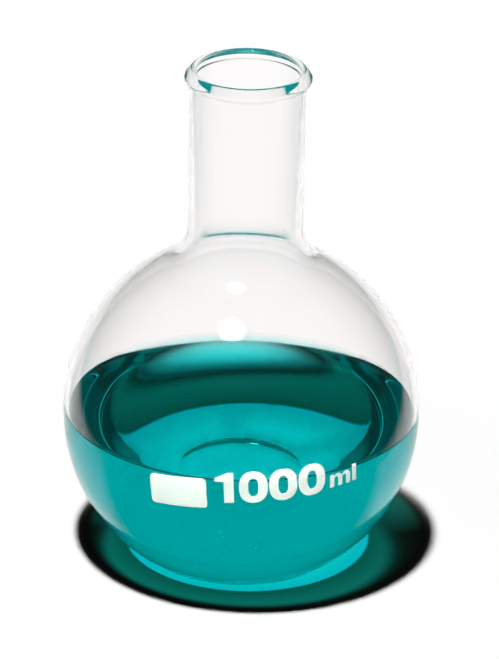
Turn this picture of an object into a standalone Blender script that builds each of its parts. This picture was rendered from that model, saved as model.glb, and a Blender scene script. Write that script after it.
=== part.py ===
"""One-litre flat-bottom boiling flask, half filled with a teal solution.

Metres, +Z up. The origin is on the bench at the centre of the base ring, and -Y is the printed front.
Three pieces: the blown glass, the liquid standing in it, and the enamel writing panel fired on the bulb.
"""

import math

import bmesh
import bpy
from mathutils import Matrix, Vector

for leftover in list(bpy.data.objects):
    bpy.data.objects.remove(leftover)

# Driving dimensions of the glass.
OVERALL_HEIGHT = 0.190
BULB_DIAMETER = 0.131
BULB_CENTRE_HEIGHT = 0.0555
NECK_DIAMETER = 0.042
BEAD_DIAMETER = 0.046
BEAD_HEIGHT = 0.0056
BEAD_ROOT = 0.0007
SHOULDER_RADIUS = 0.020
HEEL_RADIUS = 0.013
PUSH_UP_RADIUS = 0.0225
PUSH_UP_DEPTH = 0.0016

# Wall thicknesses: thin in the blown bulb, a little heavier in the neck and the base.
BULB_WALL = 0.0019
NECK_WALL = 0.0020
BASE_WALL = 0.0026

# The liquid: its level above the bulb's centre, and the rim that climbs the wall.
LIQUID_ABOVE_CENTRE = 0.0005
MENISCUS_RISE = 0.0018
MENISCUS_REACH = 0.0042
MENISCUS_EDGE_ANGLE = 18.0

# The writing panel: a rounded rectangle bent to the bulb, left of the front.
PANEL_WIDTH = 0.0215
PANEL_HEIGHT = 0.0119
PANEL_CORNER = 0.0016
PANEL_THICKNESS = 0.0003
PANEL_LONGITUDE = -19.7
PANEL_LATITUDE = -3.7
PANEL_TILT = 4.0

# Clearance between pieces that touch on the real object.
CLEARANCE = 0.0003

# Facets around the axis. Every quarter and twelfth of a turn falls on a facet edge.
FACETS = 60

# Sizes that follow from the ones above.
BULB_RADIUS = BULB_DIAMETER / 2
BULB_BORE = BULB_RADIUS - BULB_WALL
NECK_RADIUS = NECK_DIAMETER / 2
NECK_BORE = NECK_RADIUS - NECK_WALL
LIQUID_RADIUS = BULB_BORE - CLEARANCE
LIQUID_LEVEL = BULB_CENTRE_HEIGHT + LIQUID_ABOVE_CENTRE


def arc(centre, radii, start, end, steps):
    """Points of an elliptical arc in the (radius, height) plane, with angles in degrees."""
    points = []
    for step in range(steps + 1):
        angle = math.radians(start + (end - start) * step / steps)
        across = centre[0] + radii[0] * math.cos(angle)
        up = centre[1] + radii[1] * math.sin(angle)
        points.append((across, up))
    return points


def circle(centre, radius, start, end, steps):
    return arc(centre, (radius, radius), start, end, steps)


def joined(*runs):
    """One polyline from several runs, leaving out the repeated point where two runs meet."""
    points = []
    for run in runs:
        for point in run:
            if not points or math.dist(points[-1], point) > 1e-6:
                points.append(point)
    return points


def base_run(sphere, floor, heel, dome_radius, dome_rise):
    """From the axis out over the pushed-up centre and the flat ring, round the heel, to the bulb's arc.

    Returns the points and the angle at which the bulb's arc takes over.
    """
    depth = BULB_CENTRE_HEIGHT - floor
    ring = math.sqrt((sphere - heel) ** 2 - (depth - heel) ** 2)
    takeover = math.degrees(math.atan2(heel - depth, ring))
    dome_sphere = (dome_radius**2 + dome_rise**2) / (2 * dome_rise)
    dome_angle = math.degrees(math.asin(dome_radius / dome_sphere))
    dome_centre = (0.0, floor + dome_rise - dome_sphere)
    dome = circle(dome_centre, dome_sphere, 90.0, 90.0 - dome_angle, 4)
    dome[0] = (0.0, floor + dome_rise)
    corner = circle((ring, floor + heel), heel, -90.0, takeover, 5)
    return joined(dome, corner), takeover


def shoulder_run(sphere, neck, fillet):
    """From the bulb's arc up the concave shoulder to the straight neck, with the bulb's leaving angle."""
    across = neck + fillet
    up = math.sqrt((sphere + fillet) ** 2 - across**2)
    leave = math.degrees(math.atan2(up, across))
    return circle((across, BULB_CENTRE_HEIGHT + up), fillet, 180.0 + leave, 180.0, 7), leave


def bulb_run(sphere, start, end, steps):
    return circle((0.0, BULB_CENTRE_HEIGHT), sphere, start, end, steps)


def glass_side(sphere, floor, heel, neck, fillet):
    """One surface of the glass from the axis of the base up to the foot of the straight neck."""
    base, takeover = base_run(sphere, floor, heel, PUSH_UP_RADIUS, PUSH_UP_DEPTH)
    shoulder, leave = shoulder_run(sphere, neck, fillet)
    return joined(base, bulb_run(sphere, takeover, leave, 15), shoulder)


def bead_run():
    """From the bore over the rounded lip and down its outside to the neck, ending in a soft root."""
    lip = BEAD_DIAMETER / 2
    centre = ((NECK_BORE + lip) / 2, OVERALL_HEIGHT - BEAD_HEIGHT / 2)
    radii = ((lip - NECK_BORE) / 2, BEAD_HEIGHT / 2)
    roll = arc(centre, radii, 180.0, -50.0, 10)
    root = (NECK_RADIUS, OVERALL_HEIGHT - BEAD_HEIGHT - BEAD_ROOT)
    return roll + [root]


def glass_profile():
    """Closed section of the glass: up the inside, over the bead, down the outside."""
    inside = glass_side(
        BULB_BORE, BASE_WALL, HEEL_RADIUS - BASE_WALL, NECK_BORE, SHOULDER_RADIUS + NECK_WALL
    )
    outside = glass_side(BULB_RADIUS, 0.0, HEEL_RADIUS, NECK_RADIUS, SHOULDER_RADIUS)
    return joined(inside, bead_run(), list(reversed(outside)))


def liquid_profile():
    """Section of the liquid: from the middle of its surface out over the meniscus, then down the wall."""
    floor = BASE_WALL + CLEARANCE
    heel = HEEL_RADIUS - BASE_WALL - CLEARANCE
    base, takeover = base_run(LIQUID_RADIUS, floor, heel, PUSH_UP_RADIUS, PUSH_UP_DEPTH)
    edge_drop = MENISCUS_RISE * math.sin(math.radians(MENISCUS_EDGE_ANGLE))
    edge_height = LIQUID_LEVEL + MENISCUS_RISE - edge_drop
    edge_angle = math.asin((edge_height - BULB_CENTRE_HEIGHT) / LIQUID_RADIUS)
    edge_radius = LIQUID_RADIUS * math.cos(edge_angle)
    reach = MENISCUS_REACH * math.cos(math.radians(MENISCUS_EDGE_ANGLE))
    centre = (edge_radius - reach, LIQUID_LEVEL + MENISCUS_RISE)
    meniscus = arc(centre, (MENISCUS_REACH, MENISCUS_RISE), -90.0, -MENISCUS_EDGE_ANGLE, 5)
    wall = bulb_run(LIQUID_RADIUS, math.degrees(edge_angle), takeover, 9)
    return joined([(0.0, LIQUID_LEVEL)], meniscus, wall, list(reversed(base)))


def place(name, mesh):
    part = bpy.data.objects.new(name, mesh)
    bpy.context.scene.collection.objects.link(part)
    return part


def revolve(name, profile):
    """A solid of revolution about Z from a section whose two ends lie on the axis."""
    mesh = bpy.data.meshes.new(name)
    vertices = [(across, 0.0, up) for across, up in profile]
    edges = [(index, index + 1) for index in range(len(profile) - 1)]
    mesh.from_pydata(vertices, edges, [])
    part = place(name, mesh)
    turn = part.modifiers.new("turn", "SCREW")
    turn.axis = "Z"
    turn.angle = math.tau
    turn.steps = FACETS
    turn.render_steps = FACETS
    turn.use_merge_vertices = True
    turn.merge_threshold = 1e-5
    turn.use_smooth_shade = True
    return part


def panel_mesh(name):
    """A flat grid with rounded corners, laid on the bulb along the great circles of its own centre."""
    mesh = bpy.data.meshes.new(name)
    grid = bmesh.new()
    bmesh.ops.create_grid(grid, x_segments=10, y_segments=6, size=0.5)
    bmesh.ops.scale(grid, vec=(PANEL_WIDTH, PANEL_HEIGHT, 1.0), verts=grid.verts)
    corners = [vertex for vertex in grid.verts if len(vertex.link_faces) == 1]
    bmesh.ops.bevel(
        grid, geom=corners, offset=PANEL_CORNER, segments=4, profile=0.5, affect="VERTICES"
    )
    inner = BULB_RADIUS + CLEARANCE
    turned = Matrix.Rotation(math.radians(PANEL_TILT), 3, "Z")
    to_front = Matrix.Rotation(math.radians(PANEL_LONGITUDE), 3, "Z")
    to_front = to_front @ Matrix.Rotation(-math.radians(PANEL_LATITUDE), 3, "X")
    for vertex in grid.verts:
        flat = turned @ vertex.co
        east = flat.x / BULB_RADIUS
        north = flat.y / BULB_RADIUS
        outward = Vector((math.sin(east) * math.cos(north), -math.cos(east) * math.cos(north), math.sin(north)))
        vertex.co = to_front @ (outward * inner) + Vector((0.0, 0.0, BULB_CENTRE_HEIGHT))
    grid.to_mesh(mesh)
    grid.free()
    return mesh


def finish(name, colour, roughness, transmission, ior):
    """A plain surface: glassy for the see-through pieces, satin for the enamel."""
    material = bpy.data.materials.new(name)
    material.use_nodes = True
    surface = material.node_tree.nodes["Principled BSDF"]
    surface.inputs["Base Color"].default_value = (*colour, 1.0)
    surface.inputs["Roughness"].default_value = roughness
    surface.inputs["Metallic"].default_value = 0.0
    surface.inputs["Transmission Weight"].default_value = transmission
    surface.inputs["IOR"].default_value = ior
    material.diffuse_color = (*colour, 1.0)
    return material


flask = revolve("flask_glass", glass_profile())
flask.data.materials.append(finish("flask_glass", (0.93, 0.96, 0.95), 0.02, 1.0, 1.47))

liquid = revolve("liquid", liquid_profile())
liquid.data.materials.append(finish("liquid", (0.0, 0.34, 0.35), 0.02, 1.0, 1.33))

panel = place("writing_panel", panel_mesh("writing_panel"))
coat = panel.modifiers.new("coat", "SOLIDIFY")
coat.thickness = PANEL_THICKNESS
coat.offset = 1.0
for face in panel.data.polygons:
    face.use_smooth = True
panel.data.materials.append(finish("writing_panel", (0.87, 0.92, 0.89), 0.35, 0.0, 1.5))
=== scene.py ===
# %% [markdown]
# # A one-litre boiling flask, half filled
# The object is one piece of blown glass: a round bulb on a flat base, a short neck and a rolled lip. It
# holds a clear teal solution up to the middle of the bulb. White enamel is fired on the front: a blank
# panel to write on, and the capacity in figures.
#
# The imported model is the fixed frame. It is loaded first, and the box of its glass gives the bulb's size
# and the height.

# %% Load the fixed frame
import math

import bmesh
import bpy
from mathutils import Matrix, Vector


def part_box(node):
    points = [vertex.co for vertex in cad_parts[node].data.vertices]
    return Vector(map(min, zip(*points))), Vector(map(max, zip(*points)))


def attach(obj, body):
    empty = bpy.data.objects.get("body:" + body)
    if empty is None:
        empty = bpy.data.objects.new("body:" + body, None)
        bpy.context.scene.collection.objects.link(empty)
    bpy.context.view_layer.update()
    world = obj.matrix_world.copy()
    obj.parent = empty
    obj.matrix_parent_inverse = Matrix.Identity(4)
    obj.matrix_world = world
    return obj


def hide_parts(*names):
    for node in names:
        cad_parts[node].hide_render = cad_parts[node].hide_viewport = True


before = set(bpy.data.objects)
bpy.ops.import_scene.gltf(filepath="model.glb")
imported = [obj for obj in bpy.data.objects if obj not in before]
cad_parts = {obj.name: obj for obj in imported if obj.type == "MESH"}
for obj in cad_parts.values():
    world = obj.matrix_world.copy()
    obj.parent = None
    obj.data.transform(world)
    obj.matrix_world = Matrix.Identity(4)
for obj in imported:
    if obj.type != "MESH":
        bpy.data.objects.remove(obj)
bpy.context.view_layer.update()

# %% [markdown]
# ## Sizes
# Glass is judged by its outline and by what it does to light, so the pieces here are far smoother than the
# solids they stand for. Their main sizes are the same. The bulb and the height are read from the frame, and
# the rest are the flask's own driving sizes in metres.

# %% Sizes of the glass and of the liquid
glass_low, glass_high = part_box("flask_glass")
BULB_RADIUS = (glass_high.x - glass_low.x) / 2
FLASK_HEIGHT = glass_high.z
BULB_CENTRE_HEIGHT = 0.0555
BULB_WALL = 0.0019
NECK_RADIUS = 0.021
NECK_WALL = 0.0020
HEEL_RADIUS = 0.013
BASE_WALL = 0.0026
LIQUID_LEVEL = 0.0560
MENISCUS_RISE = 0.0018
BULB_BORE = BULB_RADIUS - BULB_WALL
NECK_BORE = NECK_RADIUS - NECK_WALL
print("bulb radius", round(BULB_RADIUS, 4), "height", round(FLASK_HEIGHT, 4))

# %% [markdown]
# ## Small helpers for node trees
# Every tree below is built by the same two moves: add a node, then fill or join its inputs. One helper does
# both, so that a tree reads as a list of steps.

# %% A helper that adds one node
def step(tree, kind, wires=(), **options):
    """Adds a node, sets its options, and fills each named input with a value or joins it to a socket."""
    made = tree.nodes.new(kind)
    for option, value in options.items():
        setattr(made, option, value)
    for name, value in wires:
        if isinstance(value, bpy.types.NodeSocket):
            tree.links.new(value, made.inputs[name])
        else:
            made.inputs[name].default_value = value
    return made


def figure(tree, operation, first, second=0.0):
    """One arithmetic step on two numbers or sockets."""
    return step(tree, "ShaderNodeMath", [(0, first), (1, second)], operation=operation).outputs[0]

# %% [markdown]
# A piece that Geometry Nodes grows starts as a small source, a section or an outline. A tree turns it into
# a body, and the result is kept as a plain mesh at the origin, so that nothing depends on a modifier.

# %% Helpers for pieces that are grown
WELD = 1e-6


def geometry_tree(name, inputs):
    """An empty Geometry Nodes tree with its named inputs. Returns the tree, its first node and its last."""
    tree = bpy.data.node_groups.new(name, "GeometryNodeTree")
    tree.interface.new_socket(name="Geometry", in_out="INPUT", socket_type="NodeSocketGeometry")
    for label, kind in inputs:
        tree.interface.new_socket(name=label, in_out="INPUT", socket_type=kind)
    tree.interface.new_socket(name="Geometry", in_out="OUTPUT", socket_type="NodeSocketGeometry")
    return tree, tree.nodes.new("NodeGroupInput"), tree.nodes.new("NodeGroupOutput")


def finish_tree(tree, start, end, geometry):
    """The common ending: points that meet are welded, faces are smooth, and the material is set."""
    welded = step(tree, "GeometryNodeMergeByDistance", [("Geometry", geometry), ("Distance", WELD)])
    smooth = step(tree, "GeometryNodeSetShadeSmooth", [("Geometry", welded.outputs["Geometry"])])
    wires = [("Geometry", smooth.outputs["Geometry"]), ("Material", start.outputs["Material"])]
    coat = step(tree, "GeometryNodeSetMaterial", wires)
    tree.links.new(coat.outputs["Geometry"], end.inputs["Geometry"])


def grow(name, source, tree, values):
    """Runs a tree on a source mesh or curve and returns a plain mesh object at the origin."""
    holder = bpy.data.objects.new(name + "_source", source)
    bpy.context.scene.collection.objects.link(holder)
    modifier = holder.modifiers.new("grow", "NODES")
    modifier.node_group = tree
    for item in tree.interface.items_tree:
        if item.in_out == "INPUT" and item.name in values:
            modifier[item.identifier] = values[item.name]
    graph = bpy.context.evaluated_depsgraph_get()
    mesh = bpy.data.meshes.new_from_object(holder.evaluated_get(graph), depsgraph=graph)
    bpy.data.objects.remove(holder)
    mesh.name = name
    piece = bpy.data.objects.new(name, mesh)
    bpy.context.scene.collection.objects.link(piece)
    return piece

# %% [markdown]
# A finished piece has its faces outwards and a body to ride on, and the solids that it stands for are
# hidden.

# %% Helpers for finished pieces
def face_out(piece):
    """Turns every face of a closed piece outwards."""
    shell = bmesh.new()
    shell.from_mesh(piece.data)
    bmesh.ops.recalc_face_normals(shell, faces=shell.faces)
    shell.to_mesh(piece.data)
    shell.free()


def seat(piece, body, slot, *nodes):
    """Puts a finished piece on its body and hides the solids that it stands for. The slot is not used."""
    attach(piece, body)
    if nodes:
        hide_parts(*nodes)
    print(piece.name, len(piece.data.polygons), "faces on", body)

# %% [markdown]
# ## Clear glass
# Borosilicate glass is almost colourless. What shows is its edge, where the wall is seen end on, and the
# faint cords left by blowing, which bend what is behind it a little. A plain glass shader gives the edge,
# and a warm grey painted on where the wall is seen at a slant darkens it further as painted shade. Small
# helpers add what is uneven: ramps, ranges, noise, and mixes of colours and shaders.

# %% Helpers for see-through materials
GLASS_INDEX = 1.47
LIQUID_INDEX = 1.355


def empty_material(name):
    material = bpy.data.materials.new(name)
    material.use_nodes = True
    material.node_tree.nodes.clear()
    return material, material.node_tree


def grey(value):
    return (value, value, value)


def colour_ramp(tree, source, stops):
    """A ramp on a socket, from (place, colour) stops."""
    ramp = step(tree, "ShaderNodeValToRGB", [("Fac", source)])
    while len(ramp.color_ramp.elements) < len(stops):
        ramp.color_ramp.elements.new(0.5)
    for element, (place, colour) in zip(ramp.color_ramp.elements, stops):
        element.position = place
        element.color = (*colour, 1.0)
    return ramp.outputs["Color"]


def ranged(tree, value, begin, end, first=0.0, last=1.0):
    """A number that goes from first to last while the value goes from begin to end."""
    wires = [("Value", value), ("From Min", begin), ("From Max", end), ("To Min", first), ("To Max", last)]
    return step(tree, "ShaderNodeMapRange", wires).outputs["Result"]


def blended(tree, factor, first, second, **options):
    """The first colour where the factor is 0, and the second where it is 1."""
    wires = [("Factor", factor), ("A", first), ("B", second)]
    return step(tree, "ShaderNodeMix", wires, data_type="RGBA", **options).outputs["Result"]


def mixed(tree, factor, first, second):
    """The first shader where the factor is 0, and the second where it is 1."""
    return step(tree, "ShaderNodeMixShader", [(0, factor), (1, first), (2, second)]).outputs["Shader"]


def noise(tree, place, scale, detail):
    wires = [("Vector", place), ("Scale", scale), ("Detail", detail)]
    return step(tree, "ShaderNodeTexNoise", wires).outputs["Fac"]


def wet_mark(tree):
    """1 on the part of a wall that is marked as wet."""
    mark = step(tree, "ShaderNodeAttribute", attribute_name="wet")
    return figure(tree, "GREATER_THAN", mark.outputs["Fac"], 0.5)

# %% [markdown]
# The cords run along the wall more than round it, because the glass was drawn out while it was soft. Noise
# that is stretched upwards gives them as a very low bump. Its peaks leave a trace of haze.

# %% Cords and haze
CORD_STRETCH = (1.0, 1.0, 0.35)
CORD_SCALE = 45.0
CORD_DEPTH = 0.00003
HAZE_BEGINS = 0.55
HAZE_ENDS = 0.8
HAZE_MOST = 0.015


def cords_and_haze(tree, place):
    """The bump of the cords, as a normal, and the roughness of the haze."""
    drawn = step(tree, "ShaderNodeMapping", [("Vector", place), ("Scale", CORD_STRETCH)])
    cords = noise(tree, drawn.outputs["Vector"], CORD_SCALE, 1.0)
    waves = step(tree, "ShaderNodeBump", [("Strength", 1.0), ("Distance", CORD_DEPTH), ("Height", cords)])
    return waves.outputs["Normal"], ranged(tree, cords, HAZE_BEGINS, HAZE_ENDS, 0.0, HAZE_MOST)

# %% [markdown]
# A path tracer would make the lamp's rays hunt for a way through the wall. So rays on their way to a lamp
# meet a plain see-through shader instead. On the real flask the slanting rim of the bulb throws the light
# aside and leaves the dark edge of the shadow, so the tint falls to black at the rim. The shoulder and the
# neck stay nearly clear. At the back the rim is paler, as it is in the photograph.

# %% What the wall does to lamp rays
UPPER_RIM = [(0.9, grey(0.98)), (1.0, grey(0.6))]
BULB_RIM = [(0.64, grey(1.0)), (0.74, grey(0.1)), (1.0, grey(0.0))]
BACK_RIM = [(0.60, grey(1.0)), (0.70, grey(0.62)), (0.85, grey(0.75)), (1.0, grey(0.9))]
UPPER_FADE = (0.076, 0.096)
BACK_FADE = (0.005, 0.035)


def rim_tint(tree, place, slant):
    """The wall's colour for lamp rays, by slant: dark on the bulb, paler at the back and clear above."""
    parts = step(tree, "ShaderNodeSeparateXYZ", [("Vector", place)])
    behind = ranged(tree, parts.outputs["Y"], *BACK_FADE)
    above = ranged(tree, parts.outputs["Z"], *UPPER_FADE)
    bulb = blended(tree, behind, colour_ramp(tree, slant, BULB_RIM), colour_ramp(tree, slant, BACK_RIM))
    return blended(tree, above, bulb, colour_ramp(tree, slant, UPPER_RIM))

# %% [markdown]
# Where the wall is wet there is no air on its inner side, and light hardly bends or mirrors there. So the
# wall carries a mark called "wet", and the marked part takes the ratio of the two indices instead of the
# glass's own. A weak warm absorption shows only on the long way through an edge.

# %% Clear glass material
# Painted shade: the wall's colour turns a warm grey where it is seen at a slant, so that its edges look
# darker.
PAINTED_EDGE_SHADE = [(0.25, (0.992, 0.975, 0.970)), (0.6, (0.955, 0.935, 0.930)), (1.0, (0.955, 0.935, 0.930))]
WALL_SHEEN = (0.08, 0.08, 0.08, 1.0)
WALL_ABSORBS = (0.5, 0.35, 0.35, 1.0)
WALL_DENSITY = 2.0


def clear_glass():
    material, tree = empty_material("clear_glass")
    place = step(tree, "ShaderNodeTexCoord").outputs["Object"]
    slant = step(tree, "ShaderNodeLayerWeight", [("Blend", 0.5)]).outputs["Facing"]
    shade = colour_ramp(tree, slant, PAINTED_EDGE_SHADE)
    normal, haze = cords_and_haze(tree, place)
    common = [("Base Color", shade), ("Roughness", haze), ("Transmission Weight", 1.0), ("Normal", normal)]
    common.append(("Specular Tint", WALL_SHEEN))
    walls = []
    for index in (GLASS_INDEX, GLASS_INDEX / LIQUID_INDEX):
        wall = step(tree, "ShaderNodeBsdfPrincipled", [*common, ("IOR", index)])
        walls.append(wall.outputs["BSDF"])
    path = step(tree, "ShaderNodeLightPath")
    clear = step(tree, "ShaderNodeBsdfTransparent", [("Color", rim_tint(tree, place, slant))]).outputs["BSDF"]
    surface = mixed(tree, path.outputs["Is Shadow Ray"], mixed(tree, wet_mark(tree), *walls), clear)
    depth = step(tree, "ShaderNodeVolumeAbsorption", [("Color", WALL_ABSORBS), ("Density", WALL_DENSITY)])
    step(tree, "ShaderNodeOutputMaterial", [("Surface", surface), ("Volume", depth.outputs["Volume"])])
    return material


CLEAR_GLASS = clear_glass()
print("made", CLEAR_GLASS.name)

# %% [markdown]
# ## The section of the wall
# A flask is a body of revolution, so one section says everything. It could be drawn by hand as a curve, but
# runs that are tangent to each other are easier to trust when they are worked out. A run is a list of
# points in the plane of radius and height.

# %% Arcs and joins
def arc(centre, radii, start, end, steps):
    """Points of an oval arc in the (radius, height) plane, with angles in degrees."""
    points = []
    for number in range(steps + 1):
        angle = math.radians(start + (end - start) * number / steps)
        across = centre[0] + radii[0] * math.cos(angle)
        up = centre[1] + radii[1] * math.sin(angle)
        points.append((max(across, 0.0), up))
    return points


def joined(*runs):
    """One run of points from several, without the repeats where they meet."""
    points = []
    for run in runs:
        for point in run:
            if not points or math.dist(points[-1], point) > WELD:
                points.append(point)
    return points

# %% [markdown]
# The base is pushed up in the middle, so that the flask stands on a ring and doesn't rock. The rise is a
# low dome with a steeper edge, and that edge is the fine arc that shows through the liquid. The heel rolls
# inside the bulb's circle.

# %% Base and heel
PUSH_UP_RADIUS = 0.0225
PUSH_UP_DOME = 0.0004
PUSH_UP_EDGE = 0.0007
PUSH_UP_EDGE_POWER = 8
PUSH_UP_STEPS = 20
HEEL_STEPS = 12


def base_run(sphere, floor, heel):
    """The pushed-up middle, the flat ring and the heel, and the angle where the bulb takes over."""
    depth = BULB_CENTRE_HEIGHT - floor
    ring = math.sqrt((sphere - heel) ** 2 - (depth - heel) ** 2)
    takeover = math.degrees(math.atan2(heel - depth, ring))
    middle = []
    for number in range(PUSH_UP_STEPS + 1):
        share = math.sin(math.radians(90.0 * number / PUSH_UP_STEPS))
        rise = PUSH_UP_DOME * (1 - share**2) + PUSH_UP_EDGE * (1 - share**PUSH_UP_EDGE_POWER)
        middle.append((PUSH_UP_RADIUS * share, floor + rise))
    corner = arc((ring, floor + heel), (heel, heel), -90.0, takeover, HEEL_STEPS)
    return joined(middle, corner), takeover

# %% [markdown]
# Between the bulb and the neck the glass was drawn out soft. A fillet would begin and end with a jump in
# its curve, which shows in every reflection. Here the slope eases in and out. The bore leaves the bulb at a
# higher angle than the outside does, so the wall is thickest in the bend.

# %% Bulb and shoulder
BULB_LEAVES = 60.5
BORE_LEAVES = 61.0
BULB_STEPS = 80
SHOULDER_STEPS = 48


def shoulder_run(sphere, neck, leave):
    """The hollow curve from bulb to neck."""
    leave = math.radians(leave)
    slopes = []
    for number in range(SHOULDER_STEPS):
        share = (number + 0.5) / SHOULDER_STEPS
        slopes.append(leave * share * share * (3 - 2 * share))
    foot = (sphere * math.cos(leave), sphere * math.sin(leave) + BULB_CENTRE_HEIGHT)
    stride = (foot[0] - neck) / sum(math.sin(slope) for slope in slopes)
    points = [foot]
    for slope in reversed(slopes):
        across, up = points[-1]
        points.append((across - stride * math.sin(slope), up + stride * math.cos(slope)))
    return points


def bulb_run(sphere, start, end, steps):
    return arc((0.0, BULB_CENTRE_HEIGHT), (sphere, sphere), start, end, steps)


def wall_side(sphere, floor, heel, neck, leave):
    """One face of the wall, from the middle of the base up to the foot of the neck."""
    base, takeover = base_run(sphere, floor, heel)
    bulb = bulb_run(sphere, takeover, leave, BULB_STEPS)
    return joined(base, bulb, shoulder_run(sphere, neck, leave))

# %% [markdown]
# The lip is heated and rolled outwards. It ends as a rounded wedge: a round inner edge, a slope that falls
# outwards and a round outer edge. A small root eases it into the neck.

# %% Lip
LIP_RADIUS = 0.023
LIP_HEIGHT = 0.0049
LIP_ROOT = 0.0007
LIP_EASE = (0.25, 0.6)
LIP_INNER_ROUND = 0.0011
LIP_OUTER_ROUND = 0.0013
LIP_SLOPE = 40.0
LIP_UNDERSIDE = -60.0
LIP_STEPS = 20


def lip_run():
    """Over the flared lip, from the bore to the neck's outside."""
    inner = (NECK_BORE + LIP_INNER_ROUND, FLASK_HEIGHT - LIP_INNER_ROUND)
    slope = math.radians(LIP_SLOPE)
    out = LIP_RADIUS - LIP_OUTER_ROUND
    gain = (out - inner[0]) * math.cos(slope) + LIP_OUTER_ROUND - LIP_INNER_ROUND
    outer = (out, inner[1] - gain / math.sin(slope))
    edge = arc(inner, (LIP_INNER_ROUND, LIP_INNER_ROUND), 180.0, LIP_SLOPE, LIP_STEPS)
    roll = arc(outer, (LIP_OUTER_ROUND, LIP_OUTER_ROUND), LIP_SLOPE, LIP_UNDERSIDE, LIP_STEPS)
    root = (NECK_RADIUS, FLASK_HEIGHT - LIP_HEIGHT - LIP_ROOT)
    ease = (NECK_RADIUS + LIP_EASE[0] * LIP_ROOT, root[1] + LIP_EASE[1] * LIP_ROOT)
    return joined(edge, roll, [ease, root])

# %% [markdown]
# The whole wall runs up the inside, over the lip and down the outside. The inside carries the wet mark up
# to the edge of the liquid. Two points close together there end the mark in a sharp line.

# %% The whole section
EDGE_HALF = 4e-6
EDGE_CLEAR = 1e-5


def glass_section():
    """The points of the wall, and the wet mark of each."""
    inside = wall_side(BULB_BORE, BASE_WALL, HEEL_RADIUS - BASE_WALL, NECK_BORE, BORE_LEAVES)
    outside = wall_side(BULB_RADIUS, 0.0, HEEL_RADIUS, NECK_RADIUS, BULB_LEAVES)
    edge = LIQUID_LEVEL + MENISCUS_RISE
    across = math.sqrt(BULB_BORE**2 - (edge - BULB_CENTRE_HEIGHT) ** 2)
    below = [point for point in inside if point[1] < edge - EDGE_CLEAR]
    above = [point for point in inside if point[1] > edge + EDGE_CLEAR]
    wet = below + [(across, edge - EDGE_HALF)]
    dry = joined([(across, edge + EDGE_HALF)], above, lip_run(), list(reversed(outside)))
    return wet + dry, [1.0] * len(wet) + [0.0] * len(dry)


def section_mesh(name, points, marks):
    mesh = bpy.data.meshes.new(name)
    mesh.from_pydata([(across, 0.0, up) for across, up in points], [], [])
    wet = mesh.attributes.new("wet", "FLOAT", "POINT")
    wet.data.foreach_set("value", marks)
    return mesh


print("glass section:", len(glass_section()[0]), "points")

# %% [markdown]
# ## A lathe in Geometry Nodes
# The Screw modifier would turn the section into a body. A small tree does the same with its sizes in view,
# and serves the glass and the liquid alike: a grid has one column of points for each facet, each point
# takes its place from the section by its row, and each column is turned about the axis. Merging closes the
# seam and the two poles.

# %% The lathe
def turned_about(tree, axis, vector, angle):
    """A vector turned about the X or the Z axis."""
    wires = [("Vector", vector), ("Angle", angle)]
    return step(tree, "ShaderNodeVectorRotate", wires, rotation_type=axis + "_AXIS").outputs["Vector"]


def picked(tree, kind, section, value, row):
    """The value that one row of the section has."""
    wires = [("Geometry", section), ("Value", value), ("Index", row)]
    return step(tree, "GeometryNodeSampleIndex", wires, data_type=kind, domain="POINT").outputs["Value"]


def lathe_tree():
    inputs = [("Facets", "NodeSocketInt"), ("Material", "NodeSocketMaterial")]
    tree, start, end = geometry_tree("lathe", inputs)
    section = start.outputs["Geometry"]
    facets = start.outputs["Facets"]
    rows = step(tree, "GeometryNodeAttributeDomainSize", [("Geometry", section)]).outputs["Point Count"]
    columns = figure(tree, "ADD", facets, 1.0)
    grid = step(tree, "GeometryNodeMeshGrid", [("Vertices X", columns), ("Vertices Y", rows)])
    index = step(tree, "GeometryNodeInputIndex").outputs["Index"]
    row = figure(tree, "MODULO", index, rows)
    column = figure(tree, "FLOOR", figure(tree, "DIVIDE", index, rows))
    flat = step(tree, "GeometryNodeInputPosition").outputs["Position"]
    place = picked(tree, "FLOAT_VECTOR", section, flat, row)
    angle = figure(tree, "MULTIPLY", figure(tree, "DIVIDE", column, facets), math.tau)
    wires = [("Geometry", grid.outputs["Mesh"]), ("Position", turned_about(tree, "Z", place, angle))]
    body = step(tree, "GeometryNodeSetPosition", wires)
    mark = step(tree, "GeometryNodeInputNamedAttribute", [("Name", "wet")], data_type="FLOAT")
    carried = picked(tree, "FLOAT", section, mark.outputs["Attribute"], row)
    wires = [("Geometry", body.outputs["Geometry"]), ("Name", "wet"), ("Value", carried)]
    marked = step(tree, "GeometryNodeStoreNamedAttribute", wires, data_type="FLOAT", domain="POINT")
    finish_tree(tree, start, end, marked.outputs["Geometry"])
    return tree


LATHE = lathe_tree()
print("lathe:", len(LATHE.nodes), "nodes")

# %% [markdown]
# The glass is turned with enough facets that its outline stays smooth in an enlarged picture.

# %% Turn the glass
FACETS = 256
flask = grow(
    "blown_glass",
    section_mesh("glass_section", *glass_section()),
    LATHE,
    {"Facets": FACETS, "Material": CLEAR_GLASS},
)
face_out(flask)
seat(flask, "flask", "flask_glass", "flask_glass")

# %% [markdown]
# ## The teal solution
# The liquid is clear and deeply coloured. In the photograph the light that falls through the bulb makes a
# bright teal disc inside a nearly black ring: the curved wall gathers light in the middle and throws it
# away at the rim. Tracing that light takes very many rays. Instead the liquid's wall tints lamp rays by
# their place, with one ramp about the disc's centre and one about the ring's, which fades out towards the
# back.

# %% What the liquid does to lamp rays
DISC_CENTRE = (0.0020, 0.0049)
RING_CENTRE = (0.0010, -0.0060)
GATHERED = [
    (0.0, grey(0.925)),
    (0.45, grey(0.9)),
    (0.62, grey(0.66)),
    (0.675, (0.562, 0.578, 0.608)),
    (0.700, (0.547, 0.593, 0.699)),
    (0.712, (0.076, 0.106, 0.076)),
    (0.80, (0.114, 0.137, 0.106)),
    (0.88, (0.129, 0.16, 0.125)),
    (0.96, (0.091, 0.114, 0.087)),
]
LOST = [(0.79, grey(1.0)), (0.86, (0.15, 0.15, 0.14)), (0.90, (0.05, 0.05, 0.04)), (1.0, grey(0.0))]


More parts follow.
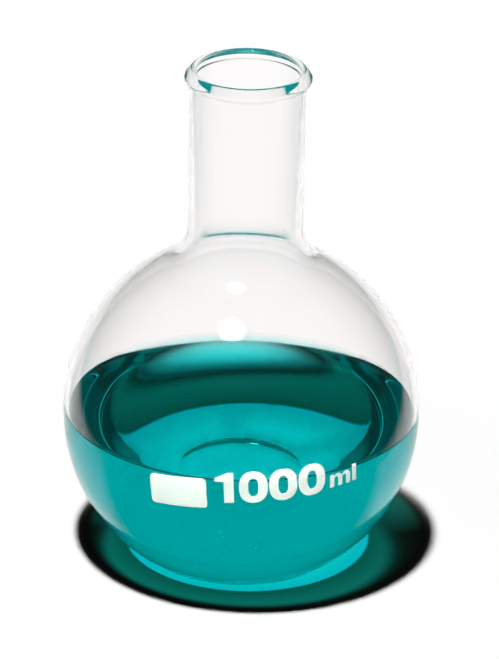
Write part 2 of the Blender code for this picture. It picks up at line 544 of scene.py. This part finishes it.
def from_axis(tree, place, centre, radius):
    """How far a point is from an upright axis through centre, as a share of radius."""
    moved = step(tree, "ShaderNodeVectorMath", [(0, place), (1, (*centre, 0.0))], operation="SUBTRACT")
    wires = [(0, moved.outputs["Vector"]), (1, (1.0, 1.0, 0.0))]
    flat = step(tree, "ShaderNodeVectorMath", wires, operation="MULTIPLY")
    length = step(tree, "ShaderNodeVectorMath", [(0, flat.outputs["Vector"])], operation="LENGTH")
    return figure(tree, "DIVIDE", length.outputs["Value"], radius)


def gathered_light(tree, place):
    """The tint of lamp rays, by where they cross the liquid's wall."""
    gathered = colour_ramp(tree, from_axis(tree, place, DISC_CENTRE, BULB_BORE), GATHERED)
    lost = colour_ramp(tree, from_axis(tree, place, RING_CENTRE, BULB_BORE), LOST)
    back = step(tree, "ShaderNodeSeparateXYZ", [("Vector", place)]).outputs["Y"]
    in_front = ranged(tree, back, *BACK_FADE, 1.0, 0.0)
    return blended(tree, in_front, gathered, lost, blend_type="MULTIPLY")

# %% [markdown]
# The colour is not on the surface: light loses red on its way through, so it comes from absorption inside
# the body. It could be painted on, but then thin and thick places would look alike. The free surface bends
# light. Where the liquid touches glass, rays have been bent by the glass already, so the wall lets them
# through.

# %% The solution's material
SOLUTION_ABSORBS = (0.0, 0.974, 0.975, 1.0)
SOLUTION_DENSITY = 140.0
WHITE = (1.0, 1.0, 1.0, 1.0)


def teal_solution():
    material, tree = empty_material("teal_solution")
    wires = [("Base Color", WHITE), ("Roughness", 0.0), ("Transmission Weight", 1.0), ("IOR", LIQUID_INDEX)]
    liquid = step(tree, "ShaderNodeBsdfPrincipled", wires).outputs["BSDF"]
    place = step(tree, "ShaderNodeTexCoord").outputs["Object"]
    path = step(tree, "ShaderNodeLightPath")
    to_lamp = path.outputs["Is Shadow Ray"]
    wall = wet_mark(tree)
    tint = blended(tree, figure(tree, "MULTIPLY", to_lamp, wall), WHITE, gathered_light(tree, place))
    clear = step(tree, "ShaderNodeBsdfTransparent", [("Color", tint)]).outputs["BSDF"]
    behind_glass = mixed(tree, figure(tree, "MAXIMUM", to_lamp, wall), liquid, clear)
    surface = mixed(tree, path.outputs["Is Camera Ray"], behind_glass, liquid)
    wires = [("Color", SOLUTION_ABSORBS), ("Density", SOLUTION_DENSITY)]
    depth = step(tree, "ShaderNodeVolumeAbsorption", wires)
    step(tree, "ShaderNodeOutputMaterial", [("Surface", surface), ("Volume", depth.outputs["Volume"])])
    return material


TEAL_SOLUTION = teal_solution()
print("made", TEAL_SOLUTION.name)

# %% [markdown]
# The liquid wets the wall, so there is no air between them. Its body reaches a little way into the glass: a
# gap would act as a mirror. At the top it climbs the wall in a small curve, the meniscus, which catches the
# light as a fine line round the bulb.

# %% Turn the liquid
WETTED = 0.0001
MENISCUS_REACH = 0.0042
MENISCUS_STEPS = 18
LIQUID_WALL_STEPS = 44
CALM_SHARES = (0.0, 0.5, 0.9, 0.98)


def liquid_section():
    """The points from the middle of the surface to the middle of the base, and their wet marks."""
    radius = BULB_BORE + WETTED
    base, takeover = base_run(radius, BASE_WALL - WETTED, HEEL_RADIUS - BASE_WALL + WETTED)
    edge_height = LIQUID_LEVEL + MENISCUS_RISE
    edge_angle = math.asin((edge_height - BULB_CENTRE_HEIGHT) / radius)
    calm = radius * math.cos(edge_angle) - MENISCUS_REACH
    surface = [(calm * share, LIQUID_LEVEL) for share in CALM_SHARES]
    climb = arc((calm, edge_height), (MENISCUS_REACH, MENISCUS_RISE), -90.0, 0.0, MENISCUS_STEPS)
    side = bulb_run(radius, math.degrees(edge_angle), takeover, LIQUID_WALL_STEPS)
    wall = joined(side, list(reversed(base)))
    free = joined(surface, climb)[:-1]
    return free + wall, [0.0] * len(free) + [1.0] * len(wall)


solution = grow(
    "teal_liquid",
    section_mesh("liquid_section", *liquid_section()),
    LATHE,
    {"Facets": FACETS, "Material": TEAL_SOLUTION},
)
face_out(solution)
seat(solution, "liquid", "liquid", "liquid")

# %% [markdown]
# ## Fired enamel
# The print is white enamel, a coat of coloured glass powder burnt on the wall. It is satin and a little
# uneven where the screen's mesh left it thin. Below the waterline a cool teal tint is painted on for the
# liquid's light behind it, greener in patches where the coat is thin. The painted tint follows height, so it
# can be read from the piece's own coordinates.

# %% Enamel material
ENAMEL_WHITE = (0.92, 0.94, 0.92, 1.0)
ENAMEL_PAINTED_TEAL_LIGHT = (0.80, 0.88, 0.82, 1.0)
THIN_ENAMEL_PAINTED_TEAL_LIGHT = (0.70, 0.83, 0.75, 1.0)
PAINTED_TEAL_LIGHT_ENDS = (LIQUID_LEVEL + 0.0010, LIQUID_LEVEL + 0.0022)
MOTTLE_SCALE = 900.0
CLOUD_SCALE = 160.0
GRAIN_STRENGTH = 0.35
GRAIN_DEPTH = 0.00004
GLOSS = (0.30, 0.5)


def white_enamel():
    material, tree = empty_material("white_enamel")
    place = step(tree, "ShaderNodeTexCoord").outputs["Object"]
    height = step(tree, "ShaderNodeSeparateXYZ", [("Vector", place)]).outputs["Z"]
    mottle = noise(tree, place, MOTTLE_SCALE, 3.0)
    cloud = noise(tree, place, CLOUD_SCALE, 2.0)
    # Painted light: below the waterline the enamel takes a teal tint for the liquid's light behind it,
    # greener in the thin patches.
    cool = blended(tree, cloud, THIN_ENAMEL_PAINTED_TEAL_LIGHT, ENAMEL_PAINTED_TEAL_LIGHT)
    colour = blended(tree, ranged(tree, height, *PAINTED_TEAL_LIGHT_ENDS), cool, ENAMEL_WHITE)
    wires = [("Strength", GRAIN_STRENGTH), ("Distance", GRAIN_DEPTH), ("Height", mottle)]
    grain = step(tree, "ShaderNodeBump", wires).outputs["Normal"]
    gloss = ranged(tree, mottle, 0.0, 1.0, *GLOSS)
    wires = [("Base Color", colour), ("Roughness", gloss), ("Normal", grain)]
    enamel = step(tree, "ShaderNodeBsdfPrincipled", wires)
    step(tree, "ShaderNodeOutputMaterial", [("Surface", enamel.outputs["BSDF"])])
    return material


WHITE_ENAMEL = white_enamel()
print("made", WHITE_ENAMEL.name)

# %% [markdown]
# ## Print that follows the bulb
# The print is drawn flat, as a screen printer cuts it, and then bent to the bulb. A Shrinkwrap modifier
# could press it on, but would drag it along the view. Here a tree does it: the outline is filled, cut fine
# enough to bend, each point is laid off along two great circles of the print's own centre, and the sheet
# gets its thickness.

# %% The print-on-bulb tree
PRINT_CUTS = 3


def print_tree():
    sizes = ("Radius", "Centre Height", "Longitude", "Latitude", "Tilt", "Thickness")
    inputs = [(label, "NodeSocketFloat") for label in sizes] + [("Material", "NodeSocketMaterial")]
    tree, start, end = geometry_tree("print_on_bulb", inputs)
    given = start.outputs
    fill = step(tree, "GeometryNodeFillCurve", [("Curve", given["Geometry"])])
    fine = step(tree, "GeometryNodeSubdivideMesh", [("Mesh", fill.outputs["Mesh"]), ("Level", PRINT_CUTS)])
    flat = step(tree, "GeometryNodeInputPosition").outputs["Position"]
    leaned = turned_about(tree, "Z", flat, given["Tilt"])
    parts = step(tree, "ShaderNodeSeparateXYZ", [("Vector", leaned)])
    east = figure(tree, "DIVIDE", parts.outputs["X"], given["Radius"])
    north = figure(tree, "DIVIDE", parts.outputs["Y"], given["Radius"])
    level = figure(tree, "COSINE", north)
    aside = figure(tree, "MULTIPLY", figure(tree, "SINE", east), level)
    back = figure(tree, "MULTIPLY", figure(tree, "MULTIPLY", figure(tree, "COSINE", east), level), -1.0)
    wires = [("X", aside), ("Y", back), ("Z", figure(tree, "SINE", north))]
    outward = step(tree, "ShaderNodeCombineXYZ", wires)
    wires = [(0, outward.outputs["Vector"]), ("Scale", given["Radius"])]
    sized = step(tree, "ShaderNodeVectorMath", wires, operation="SCALE").outputs["Vector"]
    raised = turned_about(tree, "X", sized, figure(tree, "MULTIPLY", given["Latitude"], -1.0))
    swung = turned_about(tree, "Z", raised, given["Longitude"])
    lift = step(tree, "ShaderNodeCombineXYZ", [("Z", given["Centre Height"])]).outputs["Vector"]
    final = step(tree, "ShaderNodeVectorMath", [(0, swung), (1, lift)], operation="ADD").outputs["Vector"]
    bent = step(tree, "GeometryNodeSetPosition", [("Geometry", fine.outputs["Mesh"]), ("Position", final)])
    sheet = ("Mesh", bent.outputs["Geometry"])
    normal = step(tree, "GeometryNodeInputNormal").outputs["Normal"]
    wires = [sheet, ("Offset", normal), ("Offset Scale", given["Thickness"]), ("Individual", False)]
    top = step(tree, "GeometryNodeExtrudeMesh", wires)
    under = step(tree, "GeometryNodeFlipFaces", [sheet])
    both = tree.nodes.new("GeometryNodeJoinGeometry")
    for side in (under, top):
        tree.links.new(side.outputs["Mesh"], both.inputs["Geometry"])
    finish_tree(tree, start, end, both.outputs["Geometry"])
    return tree


PRINT_ON_BULB = print_tree()
print("print tree:", len(PRINT_ON_BULB.nodes), "nodes")

# %% [markdown]
# Every print is fired by one helper. It takes flat outlines and their centre's place on the bulb.

# %% A helper that fires a print
ENAMEL_LIFT = 0.00005
ENAMEL_THICKNESS = 0.00012


def fire_on(name, outlines, longitude, latitude, tilt):
    """Prints flat outlines on the bulb. The outlines are closed runs of (right, up) points in metres."""
    drawing = bpy.data.curves.new(name + "_outline", "CURVE")
    drawing.dimensions = "2D"
    drawing.fill_mode = "NONE"
    for outline in outlines:
        spline = drawing.splines.new("POLY")
        spline.points.add(len(outline) - 1)
        for point, (right, up) in zip(spline.points, outline):
            point.co = (right, up, 0.0, 1.0)
        spline.use_cyclic_u = True
    piece = grow(
        name,
        drawing,
        PRINT_ON_BULB,
        {
            "Radius": BULB_RADIUS + ENAMEL_LIFT,
            "Centre Height": BULB_CENTRE_HEIGHT,
            "Longitude": math.radians(longitude),
            "Latitude": math.radians(latitude),
            "Tilt": math.radians(tilt),
            "Thickness": ENAMEL_THICKNESS,
            "Material": WHITE_ENAMEL,
        },
    )
    face_out(piece)
    return piece

# %% [markdown]
# ### The writing panel
# A blank patch with rounded corners, to be written on in pencil. Its outline is four arcs. Points along the
# straight sides let it bend.

# %% Fire the writing panel
PANEL_WIDTH = 0.0215
PANEL_HEIGHT = 0.0119
PANEL_CORNER = 0.0016
PANEL_LONGITUDE = -19.7
PANEL_LATITUDE = -3.7
PANEL_TILT = 4.0
CORNER_STEPS = 6
OUTLINE_GAP = 0.0012


def finely(points, gap):
    """The same closed outline with extra points, so that no two are further apart than gap."""
    fine = []
    for here, there in zip(points, points[1:] + points[:1]):
        parts = max(1, math.ceil(math.dist(here, there) / gap))
        for part in range(parts):
            share = part / parts
            fine.append((here[0] + (there[0] - here[0]) * share, here[1] + (there[1] - here[1]) * share))
    return fine


def rounded_panel(width, height, corner):
    outline = []
    for turn, (right, up) in enumerate(((1, 1), (-1, 1), (-1, -1), (1, -1))):
        centre = (right * (width / 2 - corner), up * (height / 2 - corner))
        for number in range(CORNER_STEPS + 1):
            angle = math.radians(90 * turn + 90 / CORNER_STEPS * number)
            outline.append((centre[0] + corner * math.cos(angle), centre[1] + corner * math.sin(angle)))
    return outline


panel_outline = finely(rounded_panel(PANEL_WIDTH, PANEL_HEIGHT, PANEL_CORNER), OUTLINE_GAP)
panel = fire_on("enamel_panel", [panel_outline], PANEL_LONGITUDE, PANEL_LATITUDE, PANEL_TILT)
seat(panel, "flask", "writing_panel", "writing_panel")

# %% [markdown]
# ### The capacity
# Heavy figures with no serifs. A text object needs a font file to look like this, so the few shapes are
# drawn here: the nought is one squarish oval inside another, and the one is a stem with a curved flag.

# %% Draw the figures
FIGURE_HEIGHT = 0.0119
STEM = 0.0036
NOUGHT_WIDTH = 0.0104
NOUGHT_OVERSHOOT = 1.03
NOUGHT_SQUARENESS = (2.35, 2.5)
NOUGHT_POINTS = (72, 48)
NOUGHT_STROKES = (1.88, 1.32)
STEM_CORNER = 0.24
FLAG_ROOT = 0.2
FLAG_TOP = 0.97
FLAG_FALL = 0.17
FLAG_CURVE = 0.8
FLAG_OVER = 0.80
FLAG_UNDER = 0.715
FLAG_STEPS = 6
FIGURE_GAP = 0.0015


def squarish_oval(centre, width, height, squareness, count):
    """A closed oval between an ellipse (2) and a rectangle (large squareness)."""
    outline = []
    for number in range(count):
        angle = math.tau * number / count
        right = math.copysign(abs(math.cos(angle)) ** (2 / squareness), math.cos(angle))
        up = math.copysign(abs(math.sin(angle)) ** (2 / squareness), math.sin(angle))
        outline.append((centre[0] + right * width / 2, centre[1] + up * height / 2))
    return outline


def nought(left):
    centre = (left + NOUGHT_WIDTH / 2, FIGURE_HEIGHT / 2)
    outer = (NOUGHT_WIDTH, FIGURE_HEIGHT * NOUGHT_OVERSHOOT)
    inner = (NOUGHT_WIDTH - NOUGHT_STROKES[0] * STEM, FIGURE_HEIGHT - NOUGHT_STROKES[1] * STEM)
    sizes = zip((outer, inner), NOUGHT_SQUARENESS, NOUGHT_POINTS)
    return [squarish_oval(centre, *size, squareness, count) for size, squareness, count in sizes]


def one(left, width):
    right = left + width
    inside = right - STEM
    root = inside + FLAG_ROOT * STEM
    outline = [
        (inside, 0.0),
        (right, 0.0),
        (right, FIGURE_HEIGHT),
        (inside + STEM_CORNER * STEM, FIGURE_HEIGHT),
    ]
    for number in range(FLAG_STEPS + 1):
        share = number / FLAG_STEPS
        swing = math.sin(share * math.pi / 2)
        height = FLAG_TOP - FLAG_FALL * share**FLAG_CURVE
        outline.append((root - swing * (root - left), FIGURE_HEIGHT * height))
    outline.append((left, FIGURE_HEIGHT * FLAG_OVER))
    outline.append((left, FIGURE_HEIGHT * FLAG_UNDER))
    outline.append((inside, FIGURE_HEIGHT * FLAG_UNDER))
    return [finely(outline, FIGURE_GAP)]


print("figure height", FIGURE_HEIGHT)

# %% [markdown]
# The unit is in small letters of the same weight. The m is three stems under two arches, and the l is one
# taller stem.

# %% Draw the letters
UNIT_HEIGHT = 0.0052
UNIT_STEM = 0.0018
TALL = 1.28
SHOULDER_TOP = 0.97
NOTCH = 0.88
TRIM = 0.94
SPRING = 0.66
INNER_SPRING = 0.92
ARCH_ANGLE = 22.5


def letter_m(left, width):
    gap = (width - 3 * UNIT_STEM) / 2
    top = UNIT_HEIGHT
    spring = UNIT_HEIGHT * SPRING
    first = left + UNIT_STEM * TRIM
    outline = [(left, 0.0), (left, top * SHOULDER_TOP), (first, top * SHOULDER_TOP), (first, top * NOTCH)]
    reach = UNIT_STEM + gap
    for arch in range(2):
        start = first + arch * reach
        end = left + reach * (arch + 1) + UNIT_STEM
        middle = (start + end) / 2
        for number in range(1, 8):
            angle = math.radians(180 - ARCH_ANGLE * number)
            right = middle + (end - middle) * math.cos(angle)
            up = spring + (top - spring) * math.sin(angle)
            if arch == 1 or number < 6:
                outline.append((right, up))
    outline += [(left + width, spring), (left + width, 0.0), (left + width - UNIT_STEM, 0.0)]
    for arch in (1, 0):
        inner_right = left + reach * (arch + 1)
        inner_left = left + UNIT_STEM + reach * arch
        middle = (inner_left + inner_right) / 2
        for number in range(9):
            angle = math.radians(ARCH_ANGLE * number)
            right = middle + gap / 2 * math.cos(angle)
            up = spring * INNER_SPRING + gap * 0.5 * math.sin(angle)
            outline.append((right, up))
        outline.append((inner_left, 0.0))
        if arch == 1:
            outline.append((inner_left - UNIT_STEM, 0.0))
    return [finely(outline, OUTLINE_GAP)]


def letter_l(left):
    tall = UNIT_HEIGHT * TALL
    right = left + UNIT_STEM
    return [finely([(left, 0.0), (right, 0.0), (right, tall), (left, tall)], OUTLINE_GAP)]


print("unit height", UNIT_HEIGHT)

# %% [markdown]
# The line of print is laid out from left to right, then fired on as two pieces, the figures and the unit.
# It climbs a little to the right, as hand-loaded screens do.

# %% Fire the capacity
PRINT_LONGITUDE = 12.0
PRINT_LATITUDE = 0.3
PRINT_TILT = 3.0
PRINT_BASELINE = -0.0060
FIGURES_LEFT = -0.0227
ONE_WIDTH = 0.0069
ONE_GAP = 0.0018
NOUGHT_STEP = 0.01085
UNIT_GAP = 0.0015
UNIT_RAISED = 0.0008
M_WIDTH = 0.0086
L_STEP = 0.0096


def on_baseline(outlines, baseline):
    return [[(right, up + baseline) for right, up in outline] for outline in outlines]


figures = one(FIGURES_LEFT, ONE_WIDTH)
noughts_left = FIGURES_LEFT + ONE_WIDTH + ONE_GAP
for number in range(3):
    figures += nought(noughts_left + number * NOUGHT_STEP)
unit_left = noughts_left + 3 * NOUGHT_STEP + UNIT_GAP
unit = letter_m(unit_left, M_WIDTH) + letter_l(unit_left + L_STEP)

print_place = (PRINT_LONGITUDE, PRINT_LATITUDE, PRINT_TILT)
capacity = fire_on("capacity_figures", on_baseline(figures, PRINT_BASELINE), *print_place)
seat(capacity, "flask", "writing_panel")
litres = fire_on("capacity_unit", on_baseline(unit, PRINT_BASELINE + UNIT_RAISED), *print_place)
seat(litres, "flask", "writing_panel")

# %% [markdown]
# ## Floor
# A pale bench that runs out to white. Glass mirrors its surroundings at its edges, and those are darker
# than a white sweep, so the bench looks different to some rays. Two marks tell which: rays that were
# mirrored on their way, and rays that crossed the liquid from wall to wall. The second kind loses a share,
# which deepens the liquid's colour.

# %% Marks for rays
DEEP_LOSS = 0.45


def was_mirrored(tree, path):
    """1 for rays that were mirrored anywhere on their way."""
    return figure(tree, "GREATER_THAN", path.outputs["Glossy Depth"], 0.5)


def lost_in_liquid(tree, path):
    """The share lost by rays that crossed the liquid from wall to wall and were never mirrored."""
    crossed = figure(tree, "GREATER_THAN", path.outputs["Transparent Depth"], 1.5)
    straight = figure(tree, "LESS_THAN", path.outputs["Glossy Depth"], 0.5)
    return figure(tree, "MULTIPLY", figure(tree, "MULTIPLY", crossed, straight), DEEP_LOSS)

# %% [markdown]
# Mirrored rays meet white only on a wedge behind the flask, as if it stood on a sheet of paper. Rays that
# come through the glass also meet a painted shade, a dimmed band just behind the shadow, because there the
# real light is thrown aside.

# %% Where the sheet ends
SHEET_HALF_WIDTH = 0.15
SHEET_SPREAD = 0.7
SHEET_FRONT = -0.030
SHEET_FADE = 0.05
SHADOW_CENTRE = (0.005, 0.013)
SHADOW_RADIUS = 0.066
PAINTED_SHADE_BEGINS = 0.035
PAINTED_SHADE_SCALE = 0.5
PAINTED_SHADE_STOPS = [(0.465, grey(0.0)), (0.485, grey(0.82)), (0.51, grey(0.72)), (0.55, grey(0.0))]


def off_the_sheet(tree, place, reach):
    """1 beside and in front of the wedge, and 0 on it and in the shadow."""
    parts = step(tree, "ShaderNodeSeparateXYZ", [("Vector", place)])
    spread = figure(tree, "MULTIPLY", parts.outputs["Y"], SHEET_SPREAD)
    aside = figure(tree, "SUBTRACT", figure(tree, "ABSOLUTE", parts.outputs["X"]), spread)
    beside = ranged(tree, aside, SHEET_HALF_WIDTH, SHEET_HALF_WIDTH + SHEET_FADE)
    ahead = ranged(tree, parts.outputs["Y"], SHEET_FRONT + SHEET_FADE / 3, SHEET_FRONT)
    past_shadow = figure(tree, "GREATER_THAN", reach, 1.0)
    return figure(tree, "MULTIPLY", figure(tree, "MAXIMUM", beside, ahead), past_shadow)


def painted_shade_behind(tree, place, reach, path):
    """The painted shade just behind the shadow: the share lost there by rays that come through glass."""
    band = colour_ramp(tree, figure(tree, "MULTIPLY", reach, PAINTED_SHADE_SCALE), PAINTED_SHADE_STOPS)
    back = step(tree, "ShaderNodeSeparateXYZ", [("Vector", place)]).outputs["Y"]
    band = figure(tree, "MULTIPLY", band, figure(tree, "GREATER_THAN", back, PAINTED_SHADE_BEGINS))
    return figure(tree, "MULTIPLY", band, path.outputs["Is Transmission Ray"])

# %% [markdown]
# Near the flask the bench is a plain diffuse sheet, so that it takes the shadow and the teal light. Further
# off it is simply white to the eye and to glass, as a white sweep is. Off the wedge, mirrored rays meet a
# dim teal glow, or a light teal glow from inside the liquid, which paints the stripes of light at its ends.

# %% Lay the floor
FLOOR_HALF = 9.0
SHADOW_REACH = 0.10
SWEEP_BEGINS = 0.17
FIBRE_SCALE = 700.0
PAPER_DARK = (0.93, 0.93, 0.925, 1.0)
PAPER_LIGHT = (0.97, 0.97, 0.965, 1.0)
BESIDE_DRY = (0.0, 0.28, 0.29, 1.0)
PAINTED_STRIPE_GLOW = (0.25, 0.92, 0.88, 1.0)


def glow(tree, colour, strength=1.0):
    return step(tree, "ShaderNodeEmission", [("Color", colour), ("Strength", strength)]).outputs["Emission"]


def bench_paper():
    material, tree = empty_material("bench_paper")
    place = step(tree, "ShaderNodeTexCoord").outputs["Object"]
    path = step(tree, "ShaderNodeLightPath")
    reach = from_axis(tree, place, SHADOW_CENTRE, SHADOW_RADIUS)
    fibre = noise(tree, place, FIBRE_SCALE, 2.0)
    paper = blended(tree, fibre, PAPER_DARK, PAPER_LIGHT)
    sheet = step(tree, "ShaderNodeBsdfDiffuse", [("Color", paper)]).outputs["BSDF"]
    far = step(tree, "ShaderNodeVectorMath", [(0, place)], operation="LENGTH").outputs["Value"]
    seen = figure(tree, "MAXIMUM", path.outputs["Is Camera Ray"], path.outputs["Is Transmission Ray"])
    sweep = figure(tree, "MULTIPLY", seen, ranged(tree, far, SHADOW_REACH, SWEEP_BEGINS))
    direct = mixed(tree, sweep, sheet, glow(tree, WHITE))
    # Painted shade: for rays through glass the bench goes dark in a band just behind the shadow.
    lost = figure(tree, "MAXIMUM", painted_shade_behind(tree, place, reach, path), lost_in_liquid(tree, path))
    direct = mixed(tree, lost, direct, glow(tree, WHITE, 0.0))
    # Painted light: off the sheet, mirrored rays meet a teal glow, light for rays from inside the liquid,
    # which paints the stripes at its ends.
    from_liquid = figure(tree, "GREATER_THAN", path.outputs["Transparent Depth"], 0.5)
    beside = glow(tree, blended(tree, from_liquid, BESIDE_DRY, PAINTED_STRIPE_GLOW))
    aside = figure(tree, "MULTIPLY", was_mirrored(tree, path), off_the_sheet(tree, place, reach))
    step(tree, "ShaderNodeOutputMaterial", [("Surface", mixed(tree, aside, direct, beside))])
    return material


floor_mesh = bpy.data.meshes.new("bench")
corners = [(right * FLOOR_HALF, back * FLOOR_HALF, 0) for right, back in ((-1, -1), (1, -1), (1, 1), (-1, 1))]
floor_mesh.from_pydata(corners, [], [(0, 1, 2, 3)])
floor_mesh.materials.append(bench_paper())
bench = bpy.data.objects.new("bench", floor_mesh)
bpy.context.scene.collection.objects.link(bench)
print("bench", 2 * FLOOR_HALF, "m wide")

# %% [markdown]
# ## Light
# The photograph has one small lamp high above and a little in front, which gives the hard round shadow and
# the bright spot on the shoulder. Its direction comes from that spot: the surface there halves the angle
# between lamp and eye. A wide lamp beside it, seen in reflections only, gives the soft glow round the spot.

# %% Set the key lamp
LAMP_DIRECTION = Vector((-0.105, -0.2045, 0.973)).normalized()
LAMP_DISTANCE = 2.5
LAMP_SIZE = 0.152
LAMP_POWER = 70.0
HALO_DIRECTION = Vector((-0.108, -0.238, 0.9645)).normalized()
HALO_SIZE = 0.62
HALO_POWER = 420.0
bulb_centre = Vector((0.0, 0.0, BULB_CENTRE_HEIGHT))


def area_lamp(name, place, size, power):
    """A round lamp that faces the bulb."""
    lamp = bpy.data.lights.new(name, "AREA")
    lamp.shape = "DISK"
    lamp.size = size
    lamp.energy = power
    holder = bpy.data.objects.new(name, lamp)
    holder.location = place
    holder.rotation_euler = (bulb_centre - place).to_track_quat("-Z", "Y").to_euler()
    bpy.context.scene.collection.objects.link(holder)
    print(name, power, "W")
    return holder


area_lamp("key_lamp", bulb_centre + LAMP_DIRECTION * LAMP_DISTANCE, LAMP_SIZE, LAMP_POWER)
halo = area_lamp("lamp_halo", bulb_centre + HALO_DIRECTION * LAMP_DISTANCE, HALO_SIZE, HALO_POWER)
halo.visible_diffuse = False
halo.visible_transmission = False
halo.visible_volume_scatter = False

# %% [markdown]
# A weak strip in front lifts the print and leaves the bench and its shadow alone. A lamp behind lights the
# back of the print, which shows through the glass from the other side. Light linking keeps each lamp to its
# own pieces.

# %% Set the fills
FILL_PLACE = Vector((-0.25, -2.0, 0.09))
FILL_SIZE = 1.2
FILL_STRIP = 0.12
FILL_POWER = 17.0
REAR_PLACE = Vector((0.25, 2.0, 0.5))
REAR_POWER = 40.0

fill = area_lamp("front_fill", FILL_PLACE, FILL_SIZE, FILL_POWER)
fill.data.shape = "RECTANGLE"
fill.data.size_y = FILL_STRIP
rear = area_lamp("rear_fill", REAR_PLACE, FILL_SIZE, REAR_POWER)
for lamp in (fill, rear):
    lamp.visible_glossy = False
    lamp.visible_transmission = False
shaded = bpy.data.collections.new("shaded_from_fill")
shaded.objects.link(bench)
fill.light_linking.receiver_collection = shaded
shaded.collection_objects[0].light_linking.link_state = "EXCLUDE"
printed = bpy.data.collections.new("lit_from_behind")
for piece in (panel, capacity, litres):
    printed.objects.link(piece)
rear.light_linking.receiver_collection = printed
rear.light_linking.blocker_collection = printed

# %% [markdown]
# The room is white to the eye. Seen through glass it is white near the horizon and a little darker
# overhead. Mirrored rays meet a dim teal room, which draws the glass's edges. The room hardly lights the
# scene, so the shadow stays deep.

# %% Make the room
BEYOND = [(0.5, grey(1.0)), (0.7, grey(0.6))]
MIRRORED = [
    (0.0, (0.04, 0.11, 0.10)),
    (0.2, (0.005, 0.045, 0.04)),
    (0.5, (0.005, 0.045, 0.04)),
    (0.64, (0.15, 0.29, 0.28)),
]
BLACK = (0.0, 0.0, 0.0, 1.0)
AMBIENT = 0.004


def white_room():
    world = bpy.data.worlds.new("white_room")
    world.use_nodes = True
    tree = world.node_tree
    tree.nodes.clear()
    towards = step(tree, "ShaderNodeTexCoord").outputs["Generated"]
    up = step(tree, "ShaderNodeSeparateXYZ", [("Vector", towards)]).outputs["Z"]
    path = step(tree, "ShaderNodeLightPath")
    by_eye = path.outputs["Is Camera Ray"]
    beyond = colour_ramp(tree, up, BEYOND)
    mirrored = colour_ramp(tree, up, MIRRORED)
    glass = blended(tree, was_mirrored(tree, path), beyond, mirrored)
    glass = blended(tree, lost_in_liquid(tree, path), glass, BLACK)
    bright = blended(tree, by_eye, glass, WHITE)
    seen = step(tree, "ShaderNodeBackground", [("Color", bright), ("Strength", 1.0)])
    ambient = step(tree, "ShaderNodeBackground", [("Color", WHITE), ("Strength", AMBIENT)])
    shown = figure(tree, "MAXIMUM", path.outputs["Is Glossy Ray"], path.outputs["Is Transmission Ray"])
    shown = figure(tree, "MAXIMUM", shown, by_eye)
    room = mixed(tree, shown, ambient.outputs["Background"], seen.outputs["Background"])
    step(tree, "ShaderNodeOutputWorld", [("Surface", room)])
    return world


scene = bpy.context.scene
scene.world = white_room()
print("made", scene.world.name)

# %% [markdown]
# Light turns back many times inside a wall, so rays may bounce often. Caustics stay off, because the tints
# for lamp rays already give the gathered light.

# %% Bounces of light
MOST_BOUNCES = 96
MOST_TRANSPARENT = 48
scene.view_settings.view_transform = "Standard"
scene.cycles.max_bounces = MOST_BOUNCES
scene.cycles.transmission_bounces = MOST_BOUNCES
scene.cycles.glossy_bounces = MOST_BOUNCES
scene.cycles.transparent_max_bounces = MOST_TRANSPARENT
scene.cycles.caustics_reflective = False
scene.cycles.caustics_refractive = False
print("bounces", scene.cycles.max_bounces)

# %% [markdown]
# ## Camera
# The photograph was taken from about two metres with a long lens, looking down on the bulb. The camera
# first looks straight at the bulb's centre, then turns so that the centre falls where the photograph has
# it, and leans by the small roll.

# %% Place the camera
PHOTO_HIGH = 659
FOCAL_PIXELS = 5149.6
CAMERA_DISTANCE = 1.8973
CAMERA_ELEVATION = 25.307
CAMERA_ROLL = -1.253
BULB_RIGHT_OF_MIDDLE = -6.5
BULB_BELOW_MIDDLE = 79.17

elevation = math.radians(CAMERA_ELEVATION)
towards_eye = Vector((0.0, -math.cos(elevation), math.sin(elevation)))
look = -towards_eye
right = Vector((1.0, 0.0, 0.0))
above = right.cross(look)
yaw = Matrix.Rotation(math.atan(BULB_RIGHT_OF_MIDDLE / FOCAL_PIXELS), 3, above)
look, right = yaw @ look, yaw @ right
pitch = Matrix.Rotation(math.atan(BULB_BELOW_MIDDLE / FOCAL_PIXELS), 3, right)
look, above = pitch @ look, pitch @ above
roll = Matrix.Rotation(math.radians(CAMERA_ROLL), 3, look)
right, above = roll @ right, roll @ above

lens = bpy.data.cameras.new("photo_camera")
lens.sensor_width = 36.0
lens.lens = FOCAL_PIXELS / PHOTO_HIGH * lens.sensor_width
camera = bpy.data.objects.new("photo_camera", lens)
turned = Matrix((right, above, -look)).transposed().to_4x4()
camera.matrix_world = Matrix.Translation(bulb_centre + towards_eye * CAMERA_DISTANCE) @ turned
scene.collection.objects.link(camera)
scene.camera = camera
print("lens", round(lens.lens, 1), "mm")
